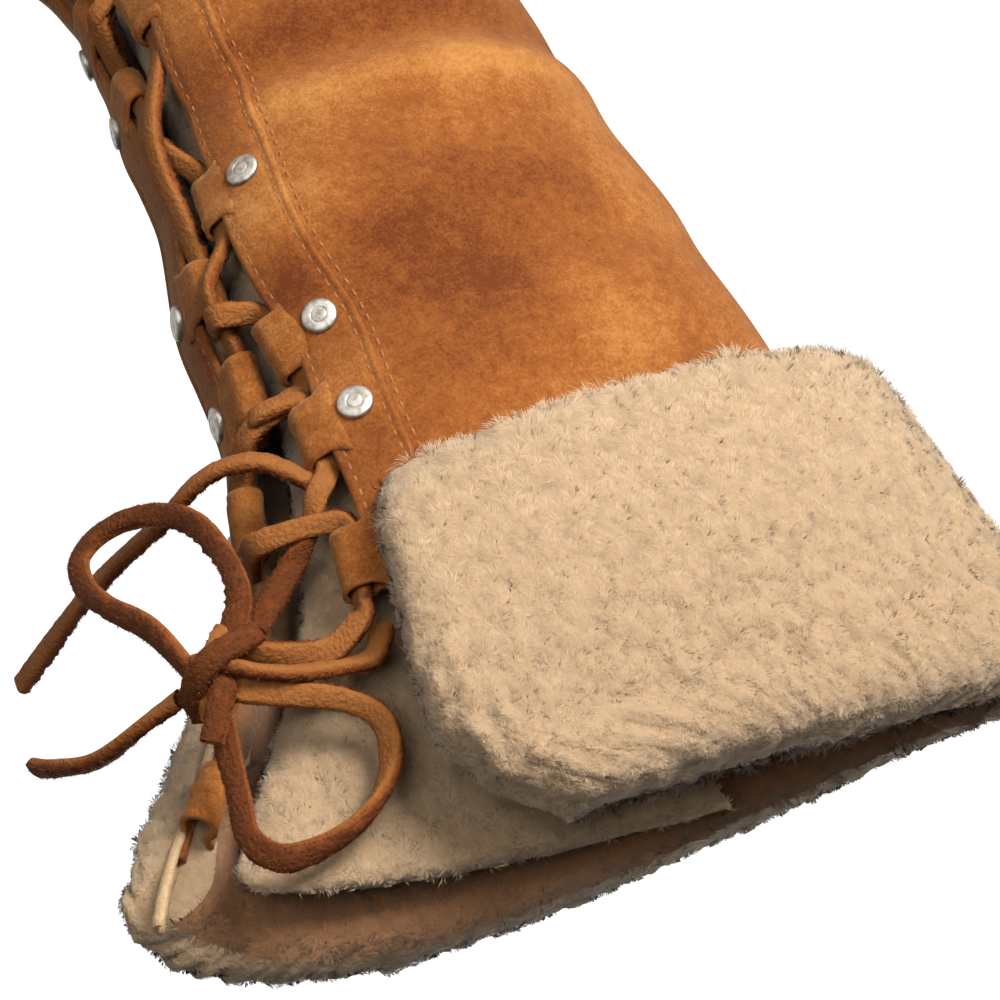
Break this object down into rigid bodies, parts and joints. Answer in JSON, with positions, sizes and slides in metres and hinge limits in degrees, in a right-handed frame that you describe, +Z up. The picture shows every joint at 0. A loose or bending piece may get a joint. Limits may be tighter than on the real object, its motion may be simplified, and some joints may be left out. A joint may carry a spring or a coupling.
{
  "type": "shearling mukluk boot",
  "caption": "Tall suede boot lined with shearling, laced up the front with a leather thong through riveted tabs, with a wide wool cuff turned down at the collar.",
  "frame": {"origin": "middle of the boot's box, on the floor it stands on", "axes": "+X to the toe, +Y to the inner side of this right boot, +Z up the leg"},
  "size_m": [0.2952, 0.1164, 0.3689],
  "materials": {
    "suede": "napped suede, golden brown",
    "wool": "dense curly cream wool",
    "thong": "cut leather thong, smooth one side and rough the other",
    "steel": "dull pewter",
    "rubber": "matt"
  },
  "bodies": {
    "root": {"outsole": "rubber", "insole": "wool", "upper": "suede", "tongue": "wool", "cuff": "wool", "lace_crossings": "thong", "lace_tab_right_1": "suede", "lace_tab_right_2": "suede", "lace_tab_right_3": "suede", "lace_tab_right_4": "suede", "lace_tab_right_5": "suede", "lace_tab_right_6": "suede", "lace_tab_left_1": "suede", "lace_tab_left_2": "suede", "lace_tab_left_3": "suede", "lace_tab_left_4": "suede", "lace_tab_left_5": "suede", "lace_tab_left_6": "suede", "lace_tab_left_7": "suede", "rivet_right_1": "steel", "rivet_right_2": "steel", "rivet_right_3": "steel", "rivet_right_4": "steel", "rivet_right_5": "steel", "rivet_left_1": "steel", "rivet_left_2": "steel", "rivet_left_3": "steel", "rivet_left_4": "steel", "rivet_left_5": "steel", "lace_knot": "thong", "lace_loop_upper": "thong", "lace_loop_lower": "thong", "lace_end_long": "thong", "lace_end_left": "thong", "lace_end_stub": "thong"}
  },
  "joints": []
}
